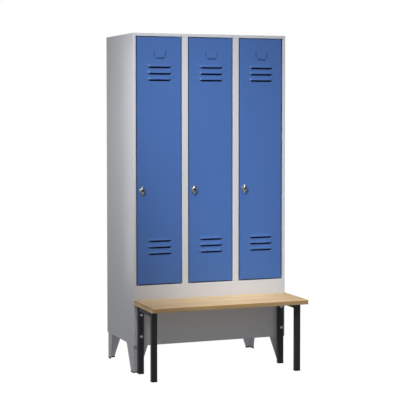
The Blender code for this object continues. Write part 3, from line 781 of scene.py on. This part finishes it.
def card_strips(middle):
    """The card holder's strips: a middle, half sizes, and the widths of the cuts along X and along Z."""
    foot = HEAD - CARD_DROP
    held = middle + CARD_SHIFT
    strips = [(held + side * CARD_HALF_SPAN, foot + TAB_LIFT + TAB_HEIGHT / 2, TAB_WIDTH / 2,
               TAB_HEIGHT / 2, TAB_CUT, 0) for side in (-1, 1)]
    strips.append((held, foot, TAB_FOOT / 2, TAB_WIDTH / 2, 0, TAB_FOOT_CUT))
    return strips


def face_lines(left, right, low, high, louvred, strips):
    """The lines across and up a door's face, through its bends, louvres and card strips."""
    half = LOUVRE_WIDTH / 2
    turn = np.linspace(0, QUARTER, LOUVRE_END_STEPS + 1)
    ends = half - LOUVRE_END + LOUVRE_END * np.sin(turn)
    columns = np.concatenate((-ends[::-1], [-0.5 * half, 0, 0.5 * half], ends)) + louvred
    across = between_bends(left, right, DOOR_BEND) + [*columns]
    up = between_bends(low, high, DOOR_BEND)
    for x, z, half_x, half_z, cut_x, cut_z in strips:
        across += [x - half_x - cut_x, x - half_x, x + half_x, x + half_x + cut_x]
        up += [z - half_z - cut_z, z - half_z, z + half_z, z + half_z + cut_z]
    rise = np.linspace(0, 1, LOUVRE_STEPS + 1)
    for lip in louvre_lips():
        up += [*(lip + LOUVRE_HEIGHT * rise), lip - LOUVRE_SLOT]
    return lines(*across), lines(*up)


def press_louvres(sheet, across, up, louvred):
    """Adds the louvres, and under each lip a slot that narrows towards its ends.

    A louvre is a grid between its top line and its lip: it stands proud by a rise from the top,
    times a swell that falls to nought at its two ends.
    """
    half = LOUVRE_WIDTH / 2
    inside = across[np.abs(across - louvred) < half + LINE_TOLERANCE]
    toward_end = np.clip((np.abs(inside - louvred) - (half - LOUVRE_END)) / LOUVRE_END, 0, 1)
    swell = (1 - toward_end ** 2) ** LOUVRE_SWELL_POWER
    for lip in louvre_lips():
        z = up[(up > lip - LINE_TOLERANCE) & (up < lip + LOUVRE_HEIGHT + LINE_TOLERANCE)]
        hood = flat(inside, z, DOOR_FACE)
        down = (lip + LOUVRE_HEIGHT - z) / LOUVRE_HEIGHT
        hood[..., 1] -= LOUVRE_PROUD * smooth_rise(down)[:, None] * swell
        sheet.add(hood)
        apron = flat(inside, np.array([lip - LOUVRE_SLOT, lip]), DOOR_FACE)
        apron[1, :, 2] = lip - LOUVRE_SLOT * swell
        sheet.add(apron)


def lance_strips(sheet, strips):
    """Adds the card strips: bridges, level along most of their length and steep at their ends."""
    edges = np.array([-1.0, 1.0])
    lift = TAB_PROUD * (1 - TAB_STATIONS ** TAB_POWER)
    for x, z, half_x, half_z, cut_x, _ in strips:
        if cut_x:
            strip = flat(x + half_x * edges, z + half_z * TAB_STATIONS, DOOR_FACE)
            strip[..., 1] -= lift[:, None]
        else:
            strip = flat(x + half_x * TAB_STATIONS, z + half_z * edges, DOOR_FACE)
            strip[..., 1] -= lift
        sheet.add(strip)


def build_pan(number):
    """A pan with a return all round; its face is pressed into louvres and lanced for a card holder."""
    left, right, low, high = door_edges(number)
    middle = (left + right) / 2
    louvred = middle + LOUVRE_SHIFT
    half = LOUVRE_WIDTH / 2
    strips = card_strips(middle)
    across, up = face_lines(left, right, low, high, louvred, strips)
    holes = [(louvred - half, louvred + half, lip - LOUVRE_SLOT, lip + LOUVRE_HEIGHT)
             for lip in louvre_lips()]
    holes += [(x - half_x - cut_x, x + half_x + cut_x, z - half_z - cut_z, z + half_z + cut_z)
              for x, z, half_x, half_z, cut_x, cut_z in strips]
    face = flat(across, up, DOOR_FACE)
    sheet = Sheet().add(face, keep=~in_holes(face, holes))
    press_louvres(sheet, across, up, louvred)
    lance_strips(sheet, strips)
    side, down = bend(DOOR_BEND)
    back_side, back_down = bend(DOOR_BACK_BEND)
    profile = [(s, DOOR_FACE + d) for s, d in zip(side, down)]
    profile += [(DOOR_BEND - DOOR_BACK_BEND + s, DOOR_BACK - d)
                for s, d in zip(back_side[::-1], back_down[::-1])]
    profile.append((DOOR_BEND - DOOR_RETURN, DOOR_BACK))
    sheet.add(carried(rectangle_path(across, up, DOOR_FAN), profile, on_front), loop=True)
    sheet.make(f"door_{number + 1}_pan", BLUE, DOOR_BODIES[number], "blue_paint", (f"door_{number + 1}",),
               wall=SHEET)


def build_door_fittings(number):
    """Collars on a door's two hinge pins, and two buffers on its return on the lock's side."""
    body = DOOR_BODIES[number]
    left, _, low, high = door_edges(number)
    joint = next(j for j in frame["joints"] if j["child"] == body)
    pivot_x, pivot_y = joint["pos_m"][:2]
    for end, level in (("lower", low - COLLAR_HEIGHT), ("upper", high)):
        make_turned(f"door_{number + 1}_{end}_pin_collar", COLLAR, upright(pivot_x, pivot_y, level),
                    ZINC, body, "zinc")
    for end, level in (("lower", low + BUFFER_INSET), ("upper", high - BUFFER_INSET)):
        place = proud_of_front(left + DOOR_RETURN / 2, DOOR_BACK + BUFFER_STAND, level)
        make_turned(f"door_{number + 1}_{end}_buffer", BUFFER, place, PLASTIC, body, "black_plastic")


def lozenge(width, height, power):
    """A rounded lozenge: |x/a| to a power plus |y/b| to the same power is one."""
    return lambda angle: (np.abs(np.cos(angle) / (width / 2)) ** power
                          + np.abs(np.sin(angle) / (height / 2)) ** power) ** (-1 / power)


def build_lock(number):
    """A round base with a neck, a knob, a black insert in its dish, and its spindle.

    The knob is a leaning lozenge with slanted faces round a dish. The insert stands for a lock's core and
    also paints the dark reflection and shade that the dish would show.
    """
    lock = f"lock_{number + 1}"
    door_body = DOOR_BODIES[number]
    body = LOCK_BODIES[number]
    x, _, z = node_middle(f"{lock}_base")
    straight = proud_of_front(x, DOOR_FACE, z)
    leaning = proud_of_front(x, DOOR_FACE, z, KNOB_LEAN)
    outline = lozenge(KNOB_WIDTH, KNOB_HEIGHT, KNOB_POWER)
    make_turned(f"{lock}_rose", ROSE, straight, NICKEL, door_body, "bright_metal", (f"{lock}_base",),
                ROSE_STEPS)
    make_turned(f"{lock}_handle", KNOB, leaning, NICKEL, body, "bright_metal", (f"{lock}_knob",),
                KNOB_STEPS, outline)
    # The black insert: a lock's core, and also painted shade and reflection in the dish
    make_turned(f"{lock}_core_and_painted_reflection", CORE_AND_PAINTED_REFLECTION, leaning, PLASTIC, body, "black_plastic")
    make_turned(f"{lock}_spindle", SPINDLE, straight, ZINC, body, "zinc", steps=SMALL_STEPS)


# Bench

def build_seat():
    """A board: a rectangle's path carried up, out round its lower edge and in over its upper one."""
    low, high = SEAT
    corner = SEAT_CORNER
    across = lines(*between_bends(low.x, high.x, corner))
    along = lines(*between_bends(low.y, high.y, corner))
    path = rectangle_path(across, along, BENCH_FAN)
    side, down = bend(SEAT_LOW_BEND, BENCH_FAN)
    profile = [(corner - SEAT_LOW_BEND + s, low.z + d) for s, d in zip(side, down)]
    side, down = bend(SEAT_TOP_BEND, BENCH_FAN)
    profile += [(corner - SEAT_TOP_BEND + s, high.z - d) for s, d in zip(side[::-1], down[::-1])]
    sheet = Sheet().add(carried(path, profile, on_floor), loop=True)
    for level, out in ((low.z, corner - SEAT_LOW_BEND), (high.z, corner - SEAT_TOP_BEND)):
        sheet.add(carried(path, [(out, level), (0.0, level)], on_floor), loop=True)
        sheet.add(lid(across, along, level))
    sheet.make("seat_wood", BEECH, "locker", "beech", ("seat_board",))


def build_tube(node, axis):
    """A square tube with rounded corners along Z or Y, open at its ends."""
    low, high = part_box(node)
    if axis == "z":
        near, far, start, end, place = low.y, high.y, low.z, high.z, on_floor
    else:
        near, far, start, end, place = low.z, high.z, low.y, high.y, on_front
    path = rectangle_path(lines(low.x + TUBE_BEND, high.x - TUBE_BEND),
                          lines(near + TUBE_BEND, far - TUBE_BEND), BENCH_FAN)
    profile = [(TUBE_BEND, start + (end - start) * share) for share in TUBE_STATIONS]
    Sheet().add(carried(path, profile, place), loop=True).make(
        f"{node}_tube", BLACK, "locker", "black_paint", (node,), wall=TUBE_WALL)


def build_weld(name, node, at_front):
    """A bead round a rail's end: a small arc carried round the rail's section, rippled along it."""
    low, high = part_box(node)
    across = np.linspace(low.x + WELD_CORNER, high.x - WELD_CORNER, WELD_ACROSS)
    up = np.linspace(low.z + WELD_CORNER, high.z - WELD_CORNER, WELD_UP)
    points, normals = rectangle_path(across, up, BENCH_FAN)
    ripple = 1 + WELD_RIPPLE * np.sin(np.arange(len(points)) * WELD_RIPPLE_TURN)
    edge = low.y - LEG_GAP if at_front else high.y + LEG_GAP
    toward = 1 if at_front else -1
    rows = []
    for turn in np.linspace(0, QUARTER, WELD_STEPS + 1):
        out = WELD_OUT + WELD_SIZE * ripple * math.cos(turn)
        depth = edge + toward * (WELD_LIFT + WELD_SIZE * ripple * math.sin(turn))
        ring = points + normals * out[:, None]
        rows.append(on_front(ring[:, 0], ring[:, 1], depth))
    Sheet().add(np.stack(rows), loop=True).make(name, BLACK, "locker", "black_paint", wall=WELD_WALL)


def hexagon(angle):
    """The edge of a six-sided nut, as a multiple of the radius to the middle of a side."""
    return 1 / np.cos((angle + math.pi / 6) % (math.pi / 3) - math.pi / 6)


def build_bolt(node):
    """A bolt with a domed head and a hexagonal nut behind the sheet."""
    low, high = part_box(node)
    x, _, z = node_middle(node)
    radius = (high.x - low.x) / 2
    head = low.y + BOLT_HEAD
    tip = head - high.y
    dome = [(radius * math.cos(turn), BOLT_RIM + BOLT_DOME * math.sin(turn))
            for turn in np.linspace(0, QUARTER, DOME_STEPS + 1)[:-1]]
    profile = [(0, tip), (BOLT_END_RADIUS, tip), (BOLT_RADIUS, tip + BOLT_CHAMFER), (BOLT_RADIUS, 0.0),
               (radius * BOLT_UNDERSIDE, 0.0), (radius, BOLT_ROUNDING), *dome, (0, BOLT_HEAD)]
    make_turned(f"{node}_shown", profile, proud_of_front(x, head, z), ZINC, "locker", "zinc", (node,),
                SMALL_STEPS)
    nut = turned([(share * NUT_RADIUS, height) for share, height in NUT],
                 proud_of_front(x, FRONT + SHEET + NUT_GAP, z), outline=hexagon)
    Sheet().add(nut, loop=True).make(f"{node}_nut", ZINC, "locker", "zinc", sharp=NUT_SHARP_ANGLE)


def build_bench():
    """Seat, tube frames with their welds, seat screws, bolts and nuts."""
    build_seat()
    for hand in ("left", "right"):
        rail = f"bench_rail_{hand}"
        for end in ("front", "rear"):
            build_tube(f"bench_leg_{end}_{hand}", "z")
            build_weld(f"bench_weld_{end}_{hand}", rail, end == "front")
        build_tube(rail, "y")
        low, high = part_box(rail)
        for end, y in (("front", low.y + SCREW_INSET), ("rear", high.y - SCREW_INSET)):
            place = upright(node_middle(rail)[0], y, low.z - SCREW_GAP)
            make_turned(f"seat_screw_{end}_{hand}", SCREW, place, ZINC, "locker", "zinc", steps=SMALL_STEPS)
        for level in ("upper", "lower"):
            build_bolt(f"bench_bolt_{level}_{hand}")


def build_object():
    """Every piece that is shaped here, from the shell to the bench."""
    build_shell()
    for end, toward_back in (("front", 1), ("rear", -1)):
        for hand, toward_right in (("left", 1), ("right", -1)):
            build_foot(f"foot_{end}_{hand}", toward_right, toward_back)
    for number in range(len(DOOR_BODIES)):
        build_clothes_rail(f"clothes_rail_{number + 1}")
        build_pan(number)
        build_door_fittings(number)
        build_lock(number)
    build_bench()


# Nodes that keep the CAD model's shape and only get a finish
KEPT = {
    GREY: ("back_panel", "base_panel", "compartment_floor", "partition_1", "partition_2", "door_stop_1",
           "door_stop_2", "door_stop_3", "hat_shelf_1", "hat_shelf_2", "hat_shelf_3"),
    BLUE: ("door_1_stiffener", "door_2_stiffener", "door_3_stiffener"),
    ZINC: ("lock_1_cam", "lock_2_cam", "lock_3_cam"),
    PLASTIC: ("foot_cap_front_left", "foot_cap_front_right", "foot_cap_rear_left", "foot_cap_rear_right",
              "leg_cap_front_left", "leg_cap_front_right", "leg_cap_rear_left", "leg_cap_rear_right"),
}


def finish_kept_nodes():
    """Gives each kept node its finish."""
    for finish, nodes in KEPT.items():
        for node in nodes:
            materials = frame["nodes"][node].data.materials
            materials.clear()
            materials.append(finish)


# Floor, light and camera

def build_stage():
    """A pale floor that shows faint shadows; only the camera sees it."""
    pale = Finish("pale_floor", Roughness=0.9, Specular_IOR_Level=0.0,
                  Emission_Color=(1.0, 1.0, 0.995, 1.0), Emission_Strength=FLOOR_GLOW)
    cloud = pale.noise(0.8, 1.0)
    pale.set(Base_Color=pale.mixed(cloud, shade((0.100, 0.100, 0.099)), shade((0.104, 0.104, 0.103))))
    reach = np.array([-1.0, 1.0]) * FLOOR_REACH
    mesh = bpy.data.meshes.new("floor")
    mesh.from_pydata(lid(reach, reach, 0.0).reshape(-1, 3).tolist(), [], [(0, 1, 3, 2)])
    mesh.materials.append(pale.material)
    floor = put_in_scene("floor", mesh)
    floor.visible_diffuse = False
    floor.visible_glossy = False


def build_world():
    """A white backdrop for the camera, and a softer even light for everything else."""
    world = bpy.data.worlds.new("studio")
    world.use_nodes = True
    bpy.context.scene.world = world
    tree = world.node_tree
    background = tree.nodes["Background"]
    background.inputs["Color"].default_value = (1.0, 1.0, 1.0, 1.0)
    seen = tree.nodes.new("ShaderNodeLightPath")
    strength = tree.nodes.new("ShaderNodeMapRange")
    strength.inputs["To Min"].default_value = AMBIENT
    strength.inputs["To Max"].default_value = BACKDROP
    tree.links.new(seen.outputs["Is Camera Ray"], strength.inputs["Value"])
    tree.links.new(strength.outputs["Result"], background.inputs["Strength"])


def hang_lamp(name, lamp, azimuth, elevation, distance, power, target):
    """Points a lamp at the target from an azimuth left of the front and an elevation."""
    lamp.energy = power
    lit = put_in_scene(name, lamp)
    a = math.radians(azimuth)
    e = math.radians(elevation)
    away = np.array([-math.sin(a) * math.cos(e), -math.cos(a) * math.cos(e), math.sin(e)])
    place = np.array(target) + distance * away
    lit.matrix_world = Matrix.Translation(place) @ Euler((math.pi / 2 - e, 0, -a)).to_matrix().to_4x4()
    lit.visible_camera = False


def add_pool(name, azimuth, elevation, distance, cone, power, target):
    """A spot with a wide soft edge, which falls off from the target all round."""
    lamp = bpy.data.lights.new(name, "SPOT")
    lamp.spot_size = math.radians(cone)
    lamp.spot_blend = 1.0
    lamp.shadow_soft_size = SPOT_SOFTNESS
    hang_lamp(name, lamp, azimuth, elevation, distance, power, target)


def add_softbox(name, azimuth, elevation, distance, size, power, target):
    """A rectangular lamp, given its width and height."""
    lamp = bpy.data.lights.new(name, "AREA")
    lamp.shape = "RECTANGLE"
    lamp.size, lamp.size_y = size
    hang_lamp(name, lamp, azimuth, elevation, distance, power, target)


def hang_lamps():
    """Spots on the front and the seat, then two softboxes at the left side.

    Each call says azimuth, elevation and distance, then a spot's cone or a softbox's size, then
    power and target. Angles are in degrees and powers in watts.
    """
    add_pool("key_wide", 43, 30, 4.2, 34, 446, (0.20, -0.09, 1.35))
    add_pool("key_middle", 43, 30, 4.2, 24, 251, (0.15, -0.09, 1.12))
    add_pool("key_low", 18, 46, 4.2, 20, 64, (0.30, -0.09, 0.82))
    add_pool("seat_right", 18, 50, 4.2, 16, 158, (0.40, -0.34, 0.42))
    add_pool("seat_left", 18, 50, 4.2, 16, 258, (-0.14, -0.39, 0.42))
    add_pool("seat_top", 0, 72, 3.2, 14, 182, (0.14, -0.36, 0.42))
    add_softbox("side_all", 95, 10, 2.2, (0.8, 1.6), 2.5, (-0.45, 0.15, 0.95))
    add_softbox("side_edge", 106, 0, 0.14, (0.03, 1.30), 0.235, (-0.45, -0.065, 1.15))


def build_camera():
    """The photograph's camera: left of the front, and in height about midway from locks to top."""
    lens = bpy.data.cameras.new("photograph")
    lens.sensor_width = SENSOR_WIDTH
    lens.lens = SENSOR_WIDTH * FOCAL_PIXELS / PICTURE_PIXELS
    lens.shift_y = CAMERA_SHIFT
    lens.dof.use_dof = False
    lens.clip_start = 0.1
    lens.clip_end = 200
    camera = put_in_scene("photograph", lens)
    camera.location = CAMERA_PLACE
    camera.rotation_euler = (math.radians(90 - CAMERA_PITCH), 0, math.radians(-CAMERA_YAW))
    bpy.context.scene.camera = camera


build_object()
finish_kept_nodes()
bpy.context.scene.view_settings.view_transform = "Standard"
build_stage()
build_world()
hang_lamps()
build_camera()
